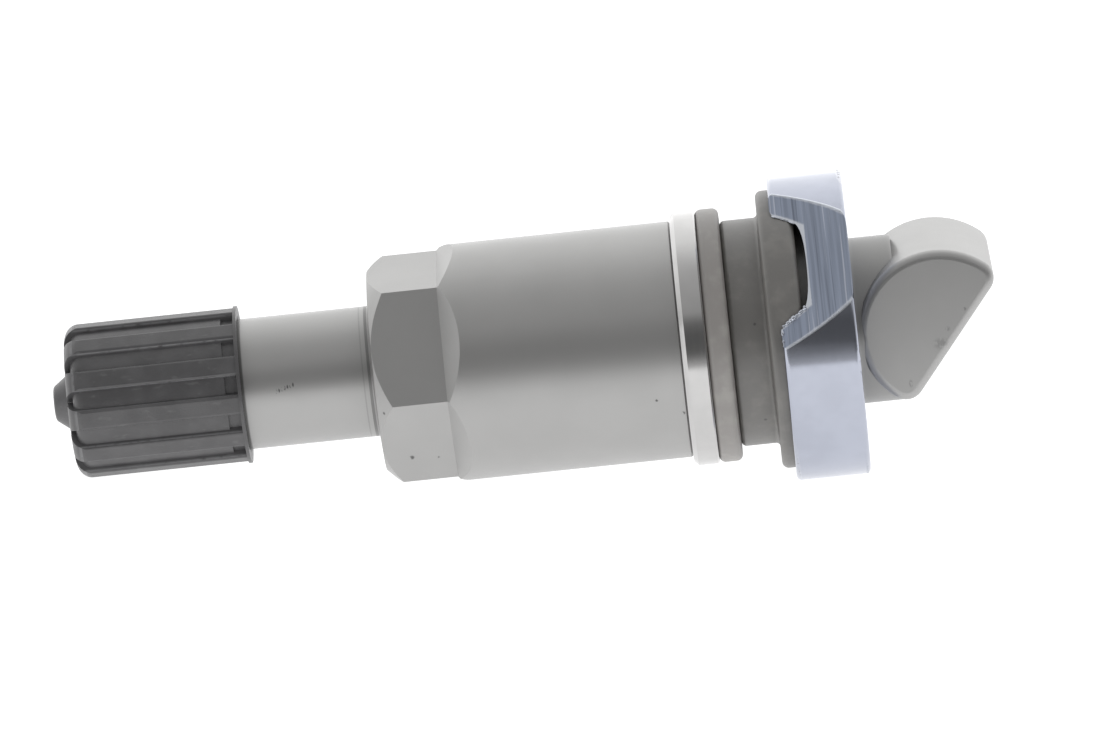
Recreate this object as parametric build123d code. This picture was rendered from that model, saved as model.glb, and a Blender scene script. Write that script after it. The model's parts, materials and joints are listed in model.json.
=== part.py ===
import os
from math import asin, atan2, cos, degrees, hypot, radians, sin, tan

from build123d import *

# Clamp-in valve stem of a tyre pressure sensor, in millimetres.
# Every piece is drawn about the stem's own axis, X, with the cap on the -X side and the foot on
# the +X side. X = 0 is the grommet face that bears on the inside of the wheel rim, and -Y faces
# the viewer. At the end the whole valve is laid down as it comes to rest on a table.

# Clearances
thread_clearance = 0.05
sliding_clearance = 0.08
press_clearance = 0.02
core_clearance = 0.03
stop_clearance = 0.3
foot_clearance = 0.05
recess_clearance = 0.06

# Stem with its two threads, which are drawn as plain cylinders at their core diameter
cap_thread_radius = 3.87
cap_thread_depth = 0.42
cap_thread_length = 6.90
stem_over_thread = 0.045
nut_core_step = 0.085
nut_thread_depth = 0.50
stem_thread_length = 13.80
tip_above_core = 0.35
tip_chamfer = 0.40
land_step = 0.10
land_length = 6.20
neck_shoulder = 0.37
neck_length = 2.50
air_bore_radius = 1.00
vent_radius = 0.70
vent_from_collar = 1.05
vent_overrun = 0.60

# Foot: a thick cross-lying disc with a slanting flat
foot_radius = 4.85
foot_cheek = 0.03
foot_flat_distance = 1.14
foot_flat_angle = -38.8
foot_corner = 1.10
foot_edge = 0.50
screw_hole_radius = 1.25
screw_hole_depth = 3.40

# Rim grommet
grommet_neck_radius = 6.78
grommet_neck_length = 2.28
grommet_flange_step = 1.56
grommet_flange_width = 2.10
grommet_edge = 0.40
grommet_neck_edge = 0.30
grommet_root = 0.25
spigot_step = 0.18

# Collar with its grommet recess and one milled flat
collar_wall = 0.75
collar_width = 4.47
collar_edge = 0.30
collar_reach = 1.32
recess_depth = 1.90
recess_corner = 0.55
recess_lead = 0.12
milled_flat_depth = 1.65
milled_flat_slope = 15.0
milled_flat_turn = 50.3

# Sleeve nut
nut_length = 18.49
hex_across_flats = 12.0
hex_length = 4.37
hex_chamfer = 1.10
hex_face_rise = 0.30
hex_turn = 6.1
sleeve_over_corner = 0.162
sleeve_edge = 0.12
nut_lead = 0.35

# Clamping washer and outer seal ring
washer_overhang = 0.56
washer_width = 1.52
washer_chamfer = 0.27
washer_edge = 0.10
washer_play = 0.24
ring_inset = 0.05
ring_play = 0.50
ring_width = 1.42
ring_edge = 0.38

# Dust cap
cap_length = 10.44
cap_wall = 0.27
groove_depth = 0.27
pocket_depth = 0.43
cap_ring_proud = 0.03
cap_mouth_proud = 0.08
cap_mouth_width = 0.19
cap_pocket_length = 0.76
cap_round = 1.00
cap_end_wall = 1.50
cap_end_step = 0.35
nub_height = 1.00
nub_tip_radius = 1.00
nub_base_radius = 1.75
rib_count = 12
rib_width = 1.14
rib_flank = 0.28
rib_edge = 0.18
rib_reach = 1.45
rib_turn = 91.8
cap_to_nut = 7.85
cap_seal_width = 1.00
cap_seal_bore = 2.00
cap_seal_play = 0.10

# Core chamber and the valve core in it
chamber_radius = 2.45
seat_taper = 0.50
seat_length = 1.20
lower_chamber_length = 10.0
chamber_end_length = 1.60
plug_length = 1.60
plug_bridge_length = 1.90
plug_bridge_width = 1.90
plug_play = 0.22
barrel_radius = 1.40
barrel_wall = 0.45
barrel_head_step = 0.45
barrel_head_length = 0.90
barrel_length = 8.60
barrel_lip_length = 0.90
barrel_lip_play = 0.12
gasket_length = 1.60
pin_radius = 0.40
pin_below_tip = 0.30
pin_collar_play = 0.13
pin_collar_length = 0.30
pin_collar_depth = 1.40
pin_end = 0.35
cup_inset = 0.10
cup_base = 0.35
cup_rim = 0.20
cup_seal_length = 0.60
cup_seal_proud = 0.15
spring_wire_radius = 0.11
spring_turns = 9

# Radii worked out from those sizes
cap_core_radius = cap_thread_radius - cap_thread_depth
stem_radius = cap_thread_radius + stem_over_thread
nut_core_radius = stem_radius + nut_core_step
nut_thread_radius = nut_core_radius + nut_thread_depth
land_radius = nut_thread_radius + land_step
neck_radius = land_radius + neck_shoulder
foot_width = 2 * (neck_radius + foot_cheek)
grommet_flange_radius = grommet_neck_radius + grommet_flange_step
spigot_radius = grommet_neck_radius - spigot_step
recess_radius = grommet_flange_radius + recess_clearance
collar_radius = recess_radius + collar_wall
milled_flat_distance = collar_radius - milled_flat_depth
hex_apothem = hex_across_flats / 2
hex_corner_radius = hex_apothem / cos(radians(30))
sleeve_radius = hex_corner_radius + sleeve_over_corner
washer_radius = sleeve_radius + washer_overhang
washer_bore = nut_thread_radius + washer_play
ring_radius = washer_radius - ring_inset
ring_bore = nut_thread_radius + ring_play
cap_bore = cap_thread_radius + sliding_clearance
cap_floor_radius = cap_bore + cap_wall
cap_radius = cap_floor_radius + pocket_depth
groove_radius = cap_radius - groove_depth
cap_ring_radius = cap_radius + cap_ring_proud
cap_mouth_radius = cap_radius + cap_mouth_proud
rib_inner_radius = cap_radius - rib_reach
chamber_lower_radius = chamber_radius - seat_taper
barrel_bore = barrel_radius - barrel_wall
barrel_head_radius = barrel_radius + barrel_head_step
barrel_lip_bore = pin_radius + barrel_lip_play
plug_bore = pin_radius + plug_play
pin_collar_radius = barrel_bore - pin_collar_play
cup_radius = barrel_radius - cup_inset
spring_radius = (pin_radius + barrel_bore) / 2

# Places along the axis
collar_front = grommet_flange_width - collar_reach
collar_back = collar_front + collar_width
recess_floor = collar_front + recess_depth
ring_end = -grommet_neck_length
washer_end = ring_end - ring_width
nut_end = washer_end - washer_width
hex_face = nut_end - nut_length
hex_flats_end = hex_face + hex_length
cap_mouth = hex_face - cap_to_nut
cap_end = cap_mouth - cap_length
cap_inner_end = cap_end + cap_end_wall
stem_tip = cap_inner_end + cap_seal_width
neck_end = collar_back + neck_length
foot_centre = collar_back + foot_clearance + foot_radius
stem_land_start = collar_back - land_length
stem_thread_start = stem_land_start - stem_thread_length
nut_step = stem_thread_start - stop_clearance
cap_thread_end = stem_tip + cap_thread_length
core_top = stem_tip + tip_above_core
plug_face = core_top + plug_bridge_length
plug_end = plug_face + plug_length
gasket_start = plug_end + barrel_head_length
seat_start = gasket_start + (gasket_length - seat_length) / 2
seat_end = seat_start + seat_length
barrel_end = plug_end + barrel_length
chamber_end = seat_end + lower_chamber_length
air_bore_start = chamber_end + chamber_end_length
vent_place = collar_back + vent_from_collar
air_bore_end = vent_place + vent_overrun
pin_top = stem_tip + pin_below_tip
pin_collar_place = plug_end + pin_collar_depth
cup_start = barrel_end + cup_seal_proud
cup_end = barrel_end + cup_seal_length + cup_base


def turned(corners, rounds=()):
    """Turn a closed outline of (place, radius) corners about the axis, with some corners rounded."""
    outline = make_face(Polyline(*corners, close=True))
    for place, radius, size in rounds:
        corner = outline.vertices().sort_by_distance((place, radius, 0))[0]
        outline = fillet(corner, size)
    return revolve(outline, Axis.X)


def tube(start, end, inner, outer):
    """A plain round tube along the axis."""
    return turned([(start, inner), (end, inner), (end, outer), (start, outer)])


def across(outline, width):
    """An (X, Z) outline made a solid that is centred on the XZ plane."""
    return extrude(Plane.XZ * outline, amount=width / 2, both=True)


def make_collar():
    bore = land_radius + press_clearance
    recess = recess_radius
    blank = turned(
        [
            (recess_floor, bore),
            (collar_back, bore),
            (collar_back, collar_radius),
            (collar_front, collar_radius),
            (collar_front, recess + recess_lead),
            (collar_front + recess_lead, recess),
            (recess_floor, recess),
        ],
        [
            (collar_back, collar_radius, collar_edge),
            (collar_front, collar_radius, collar_edge),
            (recess_floor, recess, recess_corner),
        ],
    )
    slope = tan(radians(milled_flat_slope))
    beyond = 2 * collar_radius
    start = collar_front - collar_width
    end = collar_back + collar_width
    flat = Polyline(
        (start, milled_flat_distance - collar_width * slope),
        (end, milled_flat_distance + 2 * collar_width * slope),
        (end, beyond),
        (start, beyond),
        close=True,
    )
    cutter = across(make_face(flat), 2 * beyond)
    return blank - Rot(X=milled_flat_turn) * cutter


def make_grommet():
    bore = land_radius + press_clearance
    return turned(
        [
            (ring_end, bore),
            (recess_floor, bore),
            (recess_floor, spigot_radius),
            (grommet_flange_width, spigot_radius),
            (grommet_flange_width, grommet_flange_radius),
            (0, grommet_flange_radius),
            (0, grommet_neck_radius),
            (ring_end, grommet_neck_radius),
        ],
        [
            (grommet_flange_width, grommet_flange_radius, grommet_edge),
            (0, grommet_flange_radius, grommet_edge),
            (0, grommet_neck_radius, grommet_root),
            (ring_end, grommet_neck_radius, grommet_neck_edge),
        ],
    )


def make_ring():
    return turned(
        [
            (washer_end, ring_bore),
            (ring_end, ring_bore),
            (ring_end, ring_radius),
            (washer_end, ring_radius),
        ],
        [(washer_end, ring_radius, ring_edge), (ring_end, ring_radius, ring_edge)],
    )


def make_washer():
    return turned(
        [
            (nut_end, washer_bore),
            (washer_end, washer_bore),
            (washer_end, washer_radius - washer_edge),
            (washer_end - washer_edge, washer_radius),
            (nut_end + washer_chamfer, washer_radius),
            (nut_end, washer_radius - washer_chamfer),
        ]
    )


def make_nut():
    smooth_bore = stem_radius + sliding_clearance
    thread_bore = nut_thread_radius + thread_clearance
    blank = turned(
        [
            (hex_face + hex_face_rise, smooth_bore),
            (nut_step - thread_bore + smooth_bore, smooth_bore),
            (nut_step, thread_bore),
            (nut_end - nut_lead, thread_bore),
            (nut_end, thread_bore + nut_lead),
            (nut_end, sleeve_radius - sleeve_edge),
            (nut_end - sleeve_edge, sleeve_radius),
            (hex_face + hex_chamfer + sleeve_over_corner, sleeve_radius),
            (hex_face + hex_chamfer, hex_corner_radius),
            (hex_face + hex_face_rise / 2, hex_apothem),
            (hex_face, smooth_bore + hex_face_rise),
        ]
    )
    run_out = 2 * (sleeve_radius - hex_apothem)
    start = hex_face - hex_length
    flat = Polyline(
        (start, hex_apothem),
        (hex_flats_end, hex_apothem),
        (hex_flats_end + run_out, hex_apothem + run_out),
        (start, hex_apothem + run_out),
        close=True,
    )
    cutter = across(make_face(flat), 2 * sleeve_radius)
    for side in range(6):
        blank -= Rot(X=hex_turn + 60 * side) * cutter
    return blank


def make_foot():
    """The cross-lying disc with its slanting flat, and the screw hole in that flat."""
    flat_direction = Vector(cos(radians(foot_flat_angle)), sin(radians(foot_flat_angle)))
    cut_middle = Vector(foot_centre, 0) + flat_direction * (foot_flat_distance + foot_radius)
    cut = Rot(Z=foot_flat_angle) * Rectangle(2 * foot_radius, 4 * foot_radius)
    cut = Pos(cut_middle.X, cut_middle.Y) * cut
    outline = Pos(foot_centre, 0) * Circle(foot_radius) - cut
    outline = fillet(outline.vertices().filter_by(on_foot_flat), foot_corner)
    disc = across(outline, foot_width)
    rims = disc.faces().filter_by(Axis.Y).edges()
    return fillet(rims, foot_edge)


def on_foot_flat(vertex):
    """Whether an outline corner lies on the foot's slanting flat."""
    angle = radians(foot_flat_angle)
    along = (vertex.X - foot_centre) * cos(angle) + vertex.Y * sin(angle)
    return abs(along - foot_flat_distance) < foot_edge


def make_stem():
    body = turned(
        [
            (stem_tip, 0),
            (stem_tip, cap_core_radius - tip_chamfer / 2),
            (stem_tip + tip_chamfer, cap_core_radius),
            (cap_thread_end, cap_core_radius),
            (cap_thread_end + stem_radius - cap_core_radius, stem_radius),
            (stem_thread_start, stem_radius),
            (stem_thread_start + nut_core_step, nut_core_radius),
            (stem_land_start + nut_core_radius - land_radius, nut_core_radius),
            (stem_land_start, land_radius),
            (collar_back, land_radius),
            (collar_back, neck_radius),
            (neck_end, neck_radius),
            (neck_end, 0),
        ]
    )
    bore = turned(
        [
            (stem_tip - tip_chamfer, 0),
            (stem_tip - tip_chamfer, chamber_radius + 2 * tip_chamfer),
            (stem_tip + tip_chamfer, chamber_radius),
            (seat_start, chamber_radius),
            (seat_end, chamber_lower_radius),
            (chamber_end, chamber_lower_radius),
            (air_bore_start, air_bore_radius),
            (air_bore_end, air_bore_radius),
            (air_bore_end, 0),
        ]
    )
    vent = Pos(vent_place, 0, -neck_radius) * Cylinder(vent_radius, 2 * neck_radius)
    vent = vent - Pos(vent_place, 0, neck_radius) * Box(neck_radius, neck_radius, 2 * neck_radius)
    hole_depth = screw_hole_depth + foot_edge
    hole_middle = foot_flat_distance + foot_edge - hole_depth / 2
    hole = Rot(Y=90) * Cylinder(screw_hole_radius, hole_depth)
    hole = Pos(foot_centre, 0, 0) * Rot(Y=-foot_flat_angle) * Pos(hole_middle, 0, 0) * hole
    return body + make_foot() - bore - vent - hole


def make_cap():
    pocket_start = cap_mouth - cap_mouth_width - cap_pocket_length
    core = turned(
        [
            (cap_end + cap_end_step, 0),
            (cap_end + cap_end_step, groove_radius),
            (pocket_start, groove_radius),
            (pocket_start, cap_floor_radius),
            (cap_mouth - cap_mouth_width, cap_floor_radius),
            (cap_mouth - cap_mouth_width, cap_mouth_radius),
            (cap_mouth, cap_mouth_radius),
            (cap_mouth, cap_bore + cap_mouth_width),
            (cap_mouth - cap_mouth_width, cap_bore),
            (cap_inner_end, cap_bore),
            (cap_inner_end, 0),
        ],
        [(cap_end + cap_end_step, groove_radius, cap_round - cap_end_step)],
    )
    half = rib_width / 2
    section = make_face(
        Polyline(
            (-half - rib_flank, rib_inner_radius),
            (half + rib_flank, rib_inner_radius),
            (half, cap_radius),
            (-half, cap_radius),
            close=True,
        )
    )
    section = fillet(section.vertices().filter_by(lambda corner: corner.Y > cap_floor_radius), rib_edge)
    rib_length = cap_mouth - cap_mouth_width - cap_end
    rib = Pos(cap_end, 0, 0) * extrude(Plane.YZ * section, amount=rib_length)
    envelope = turned(
        [(cap_end, 0), (cap_end, cap_ring_radius), (cap_mouth, cap_ring_radius), (cap_mouth, 0)],
        [(cap_end, cap_ring_radius, cap_round)],
    )
    hollow = turned(
        [(cap_inner_end, 0), (cap_inner_end, cap_bore), (cap_mouth, cap_bore), (cap_mouth, 0)]
    )
    rib = (rib & envelope) - hollow
    nub = turned(
        [
            (cap_end - nub_height, 0),
            (cap_end - nub_height, nub_tip_radius),
            (cap_end, nub_base_radius),
            (cap_end + cap_end_step, nub_base_radius),
            (cap_end + cap_end_step, 0),
        ],
        [(cap_end - nub_height, nub_tip_radius, nub_height / 3)],
    )
    cap = core + nub
    for number in range(rib_count):
        cap += Rot(X=rib_turn + number * 360 / rib_count) * rib
    return cap


def make_cap_seal():
    return tube(cap_inner_end, stem_tip, cap_seal_bore, cap_bore - cap_seal_play)


def make_core_plug():
    outer = chamber_radius - core_clearance
    plug = tube(core_top, plug_end, plug_bore, outer)
    for side in (-1, 1):
        middle = side * (plug_bridge_width + outer) / 2
        beside = Box(plug_bridge_length, outer, 2 * outer)
        plug -= Pos(core_top + plug_bridge_length / 2, middle, 0) * beside
    return plug


def make_core_barrel():
    return turned(
        [
            (plug_end, barrel_bore),
            (barrel_end - barrel_lip_length, barrel_bore),
            (barrel_end - barrel_lip_length, barrel_lip_bore),
            (barrel_end, barrel_lip_bore),
            (barrel_end, barrel_radius),
            (gasket_start, barrel_radius),
            (gasket_start, barrel_head_radius),
            (plug_end, barrel_head_radius),
        ]
    )


def make_core_gasket():
    """The soft cone that seals the barrel against the chamber's tapered seat."""
    upper = chamber_radius - core_clearance
    lower = chamber_lower_radius - core_clearance
    return turned(
        [
            (gasket_start, barrel_radius),
            (gasket_start + gasket_length, barrel_radius),
            (gasket_start + gasket_length, lower),
            (seat_end, lower),
            (seat_start, upper),
            (gasket_start, upper),
        ]
    )


def make_core_pin():
    pin = tube(pin_top, cup_end + pin_end, 0, pin_radius)
    return pin + tube(pin_collar_place, pin_collar_place + pin_collar_length, 0, pin_collar_radius)


def make_core_cup():
    base = barrel_end + cup_seal_length
    bore = pin_radius + press_clearance
    return turned(
        [
            (base, bore),
            (cup_end, bore),
            (cup_end, cup_radius),
            (cup_start, cup_radius),
            (cup_start, cup_radius - cup_rim),
            (base, cup_radius - cup_rim),
        ]
    )


def make_cup_seal():
    outer = cup_radius - cup_rim - press_clearance
    return tube(barrel_end, barrel_end + cup_seal_length, pin_radius + press_clearance, outer)


def make_core_spring():
    start = pin_collar_place + pin_collar_length + spring_wire_radius
    end = barrel_end - barrel_lip_length - spring_wire_radius
    length = end - start
    line = Pos(start, 0, 0) * Rot(Y=90) * Helix(length / spring_turns, length, spring_radius)
    wire = Plane(line @ 0, z_dir=line % 0) * Circle(spring_wire_radius)
    return sweep(wire, path=line)


def resting_angle():
    """How far the axis leans when the valve lies on its collar and on its sleeve or its cap."""
    collar_x = collar_front + collar_edge
    collar_z = collar_radius - collar_edge
    sleeve = (hex_flats_end + sleeve_radius - hex_apothem, sleeve_radius, 0)
    cap = (cap_end + cap_round, cap_radius - cap_round, cap_round)
    angles = []
    for place, radius, rounding in (sleeve, cap):
        run = collar_x - place
        rise = collar_z - radius
        angles.append(atan2(rise, run) + asin((collar_edge - rounding) / hypot(rise, run)))
    return degrees(min(angles))


pieces = {
    "valve_stem": make_stem(),
    "valve_collar": make_collar(),
    "rim_grommet": make_grommet(),
    "outer_seal_ring": make_ring(),
    "clamp_washer": make_washer(),
    "sleeve_nut": make_nut(),
    "dust_cap": make_cap(),
    "cap_seal": make_cap_seal(),
    "core_plug": make_core_plug(),
    "core_barrel": make_core_barrel(),
    "core_gasket": make_core_gasket(),
    "core_pin": make_core_pin(),
    "core_cup": make_core_cup(),
    "cup_seal": make_cup_seal(),
    "core_spring": make_core_spring(),
}

# The valve lies on the table with its lowest points at Z = 0 and the origin under its middle
lean = Rot(Y=-resting_angle())
leaning_box = Compound(children=[lean * piece for piece in pieces.values()]).bounding_box()
middle = leaning_box.center()
placing = Pos(-middle.X, -middle.Y, -leaning_box.min.Z) * lean

os.makedirs("parts", exist_ok=True)
for name, piece in pieces.items():
    export_step(placing * piece, f"parts/{name}.step")
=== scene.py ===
"""A clamp-in tyre valve for a wheel pressure sensor: finishes, fine details, light, camera."""

import json
import logging
import math
from dataclasses import dataclass
from enum import Enum
from typing import ClassVar

import bpy
from mathutils import Matrix, Vector


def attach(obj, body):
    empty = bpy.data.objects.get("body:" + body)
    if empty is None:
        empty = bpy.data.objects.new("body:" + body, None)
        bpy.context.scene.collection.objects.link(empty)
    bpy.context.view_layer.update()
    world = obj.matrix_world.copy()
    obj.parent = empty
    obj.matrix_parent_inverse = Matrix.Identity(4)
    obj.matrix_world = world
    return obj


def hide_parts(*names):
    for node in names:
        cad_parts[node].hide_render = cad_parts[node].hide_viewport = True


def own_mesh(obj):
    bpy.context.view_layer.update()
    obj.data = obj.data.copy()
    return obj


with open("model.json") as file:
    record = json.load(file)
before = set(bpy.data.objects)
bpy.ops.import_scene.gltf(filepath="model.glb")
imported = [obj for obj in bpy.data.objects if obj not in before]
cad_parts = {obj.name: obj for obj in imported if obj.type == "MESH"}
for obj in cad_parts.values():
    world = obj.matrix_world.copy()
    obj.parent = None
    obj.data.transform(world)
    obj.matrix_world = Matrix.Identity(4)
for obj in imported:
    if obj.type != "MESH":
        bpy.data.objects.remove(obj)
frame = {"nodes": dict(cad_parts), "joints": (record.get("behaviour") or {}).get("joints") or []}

MILLIMETRE = 0.001
Colour = tuple[float, float, float]
Point = tuple[float, float, float]


class Body(Enum):
    """The moving bodies of the valve."""

    STEM = "stem"
    WASHER_SET = "washer_set"
    NUT = "nut"
    CAP_CARRIER = "cap_carrier"
    CAP = "cap"
    CORE_PLUNGER = "core_plunger"


@dataclass(frozen=True)
class ValveAxis:
    """The valve's own axis, with places in millimetres along it, positive towards the foot.

    Args:
        origin: The point of the axis at the rim seat, in metres.
        direction: The unit vector towards the foot.
    """

    origin: Vector
    direction: Vector

    @classmethod
    def of_the_nut(cls) -> "ValveAxis":
        """Take the axis from the joint that the sleeve nut turns on.

        Returns:
            The axis, pointing towards the foot.
        """
        joint = next(joint for joint in frame["joints"] if joint["name"] == "nut_turn")
        return cls(Vector(joint["pos_m"]), -Vector(joint["axis"]).normalized())

    @property
    def lean(self) -> float:
        """How far the foot end is raised, in radians."""
        return math.atan2(self.direction.z, self.direction.x)

    @property
    def matrix(self) -> Matrix:
        """The change from axis millimetres to the row frame's metres."""
        turn = Matrix.Rotation(-self.lean, 4, "Y")
        return Matrix.Translation(self.origin) @ turn @ Matrix.Scale(MILLIMETRE, 4)

    def point(self, place: float, radius: float, around: float) -> Vector:
        """A point on a circle about the axis.

        Args:
            place: Millimetres along the axis.
            radius: Millimetres from the axis.
            around: Degrees above the level line that faces the camera.

        Returns:
            The point in axis millimetres.
        """
        angle = math.radians(around)
        return Vector((place, -radius * math.cos(angle), radius * math.sin(angle)))


AXIS = ValveAxis.of_the_nut()


class Signal:
    """A shader socket that takes part in ordinary arithmetic."""

    def __init__(self, graph: "Graph", socket: bpy.types.NodeSocket) -> None:
        """Keep a socket with the graph that it belongs to.

        Args:
            graph: The graph that new nodes are added to.
            socket: The output socket that carries the value.
        """
        self.graph = graph
        self.socket = socket

    def __add__(self, other: "Signal | float") -> "Signal":
        """Sum."""
        return self.graph.math("ADD", self, other)

    def __radd__(self, other: float) -> "Signal":
        """Sum with a number on the left."""
        return self.graph.math("ADD", other, self)

    def __sub__(self, other: "Signal | float") -> "Signal":
        """Difference."""
        return self.graph.math("SUBTRACT", self, other)

    def __rsub__(self, other: float) -> "Signal":
        """Difference from a number on the left."""
        return self.graph.math("SUBTRACT", other, self)

    def __mul__(self, other: "Signal | float") -> "Signal":
        """Product."""
        return self.graph.math("MULTIPLY", self, other)

    def __rmul__(self, other: float) -> "Signal":
        """Product with a number on the left."""
        return self.graph.math("MULTIPLY", other, self)

    def __abs__(self) -> "Signal":
        """The value without its sign."""
        return self.graph.math("ABSOLUTE", self)

    def rises(self, low: float, high: float) -> "Signal":
        """A smooth step from 0 at low to 1 at high.

        Args:
            low: The value where the step starts.
            high: The value where it ends, which may be below low.

        Returns:
            The step.
        """
        sockets = {"Value": self, "From Min": low, "From Max": high}
        node = self.graph.node("ShaderNodeMapRange", {"interpolation_type": "SMOOTHSTEP"}, sockets)
        return Signal(self.graph, node.outputs["Result"])


class Nodes:
    """A node tree of any kind, with the one method that all its nodes come from."""

    def __init__(self, tree: bpy.types.NodeTree) -> None:
        """Empty the tree.

        Args:
            tree: The tree to fill.
        """
        self.tree = tree
        self.tree.nodes.clear()

    def node(
        self,
        kind: str,
        settings: dict[str, object] | None = None,
        sockets: dict[str | int, object] | None = None,
    ) -> bpy.types.Node:
        """Add a node.

        Args:
            kind: The node's type.
            settings: Its properties, or stops for a ramp, set before its sockets.
            sockets: Values, signals or sockets for its inputs, by name or number.

        Returns:
            The new node.
        """
        node = self.tree.nodes.new(kind)
        for key, value in (settings or {}).items():
            if key == "stops":
                self.set_stops(node.color_ramp, value)
            else:
                setattr(node, key, value)
        for key, value in (sockets or {}).items():
            self.feed(node.inputs[key], value)
        return node

    def feed(self, socket: bpy.types.NodeSocket, value: object) -> None:
        """Give an input its value or its link.

        Args:
            socket: The input.
            value: A value, a signal or an output socket.
        """
        source = value.socket if isinstance(value, Signal) else value
        if isinstance(source, bpy.types.NodeSocket):
            self.tree.links.new(source, socket)
        else:
            socket.default_value = source

    @staticmethod
    def set_stops(ramp: bpy.types.ColorRamp, stops: list[tuple[float, float]]) -> None:
        """Give a ramp its stops.

        Args:
            ramp: The ramp.
            stops: Pairs of place and grey level, at least two, from left to right.
        """
        while len(ramp.elements) < len(stops):
            ramp.elements.new(1.0)
        for element, (place, level) in zip(ramp.elements, stops):
            element.position = place
            element.color = (level, level, level, 1.0)


class Graph(Nodes):
    """One material's node tree, read in the valve's own axis and in millimetres."""

    def __init__(self, name: str) -> None:
        """Make an empty material with its surface shader.

        Args:
            name: The material's name.
        """
        self.material = bpy.data.materials.new(name)
        self.material.use_nodes = True
        super().__init__(self.material.node_tree)
        self.shader = self.node("ShaderNodeBsdfPrincipled")
        self.node("ShaderNodeOutputMaterial", sockets={"Surface": self.shader.outputs["BSDF"]})
        self._place: Signal | None = None

    def math(self, operation: str, *values: "Signal | float") -> Signal:
        """Add a Math node.

        Args:
            operation: The node's operation.
            values: Its inputs in order.

        Returns:
            The result.
        """
        node = self.node("ShaderNodeMath", {"operation": operation}, dict(enumerate(values)))
        return Signal(self, node.outputs[0])

    def vector(self, operation: str, *values: "Signal | Point") -> bpy.types.ShaderNode:
        """Add a Vector Math node.

        Args:
            operation: The node's operation.
            values: Its vector inputs in order.

        Returns:
            The node, whose output depends on the operation.
        """
        return self.node("ShaderNodeVectorMath", {"operation": operation}, dict(enumerate(values)))

    def place(self) -> Signal:
        """The surface point in axis millimetres, made once for the material.

        Returns:
            The point.
        """
        if self._place is None:
            turn = Matrix.Rotation(AXIS.lean, 3, "Y")
            move = -(turn @ AXIS.origin) / MILLIMETRE
            coordinates = self.node("ShaderNodeTexCoord")
            sockets = {
                "Vector": Signal(self, coordinates.outputs["Object"]),
                "Location": move,
                "Rotation": (0.0, AXIS.lean, 0.0),
                "Scale": (1 / MILLIMETRE,) * 3,
            }
            mapping = self.node("ShaderNodeMapping", {"vector_type": "POINT"}, sockets)
            self._place = Signal(self, mapping.outputs["Vector"])
        return self._place

    def parts(self) -> tuple[Signal, Signal, Signal]:
        """The surface point's three axis coordinates."""
        node = self.node("ShaderNodeSeparateXYZ", sockets={"Vector": self.place()})
        return tuple(Signal(self, output) for output in node.outputs)

    def radius(self) -> Signal:
        """The surface point's distance from the valve's axis."""
        _, across, up = self.parts()
        return self.math("SQRT", across * across + up * up)

    def noise(self, scale: float, detail: float = 2.0, stretch: Point = (1.0, 1.0, 1.0)) -> Signal:
        """Smooth noise about 0.5.

        Args:
            scale: Lumps to the millimetre.
            detail: Finer layers on top.
            stretch: How the pattern is scaled along, across and up.

        Returns:
            The noise.
        """
        scaled = self.vector("MULTIPLY", self.place(), stretch)
        sockets = {"Vector": Signal(self, scaled.outputs[0]), "Scale": scale, "Detail": detail}
        return Signal(self, self.node("ShaderNodeTexNoise", sockets=sockets).outputs[0])

    def near(self, centre: Point, size: float, squeeze: Point = (1.0, 1.0, 1.0)) -> Signal:
        """A soft spot round a point.

        Args:
            centre: The spot's middle in axis millimetres.
            size: Its radius.
            squeeze: Larger values make it narrower along that coordinate.

        Returns:
            1 in the middle, 0 outside.
        """
        offset = Signal(self, self.vector("SUBTRACT", self.place(), tuple(centre)).outputs[0])
        shaped = Signal(self, self.vector("MULTIPLY", offset, squeeze).outputs[0])
        distance = Signal(self, self.vector("LENGTH", shaped).outputs["Value"])
        return distance.rises(size, 0.3 * size)

    def mix(
        self, share: "Signal | float", first: "Signal | Colour", second: "Signal | Colour"
    ) -> Signal:
        """Mix two colours.

        Args:
            share: How much of the second colour shows.
            first: The colour at 0.
            second: The colour at 1.

        Returns:
            The mixed colour.
        """
        pair = [value if isinstance(value, Signal) else (*value, 1.0) for value in (first, second)]
        sockets = {0: share, 6: pair[0], 7: pair[1]}
        return Signal(self, self.node("ShaderNodeMix", {"data_type": "RGBA"}, sockets).outputs[2])

    def bump(self, height: Signal, depth: float) -> Signal:
        """Turn a height into a surface normal.

        Args:
            height: The height, about 0 to 1.
            depth: What a height of 1 stands for, in millimetres.

        Returns:
            The normal.
        """
        sockets = {"Height": height, "Strength": 1.0, "Distance": depth * MILLIMETRE}
        return Signal(self, self.node("ShaderNodeBump", sockets=sockets).outputs["Normal"])

    def surface(self, **sockets: object) -> bpy.types.Material:
        """Set the surface shader's sockets.

        Args:
            sockets: Values or signals, with an underscore for each space in the name.

        Returns:
            The finished material.
        """
        for key, value in sockets.items():
            self.feed(self.shader.inputs[key.replace("_", " ")], value)
        return self.material


@dataclass(frozen=True)
class Mark:
    """A small dark speck or smudge.

    Args:
        place: Its middle in axis millimetres.
        size: Its radius.
        squeeze: Larger values make it narrower along that coordinate.
        strength: How dark it is, 0 to 1.
    """

    place: Point
    size: float
    squeeze: Point = (1.0, 1.0, 1.0)
    strength: float = 0.8


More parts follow.
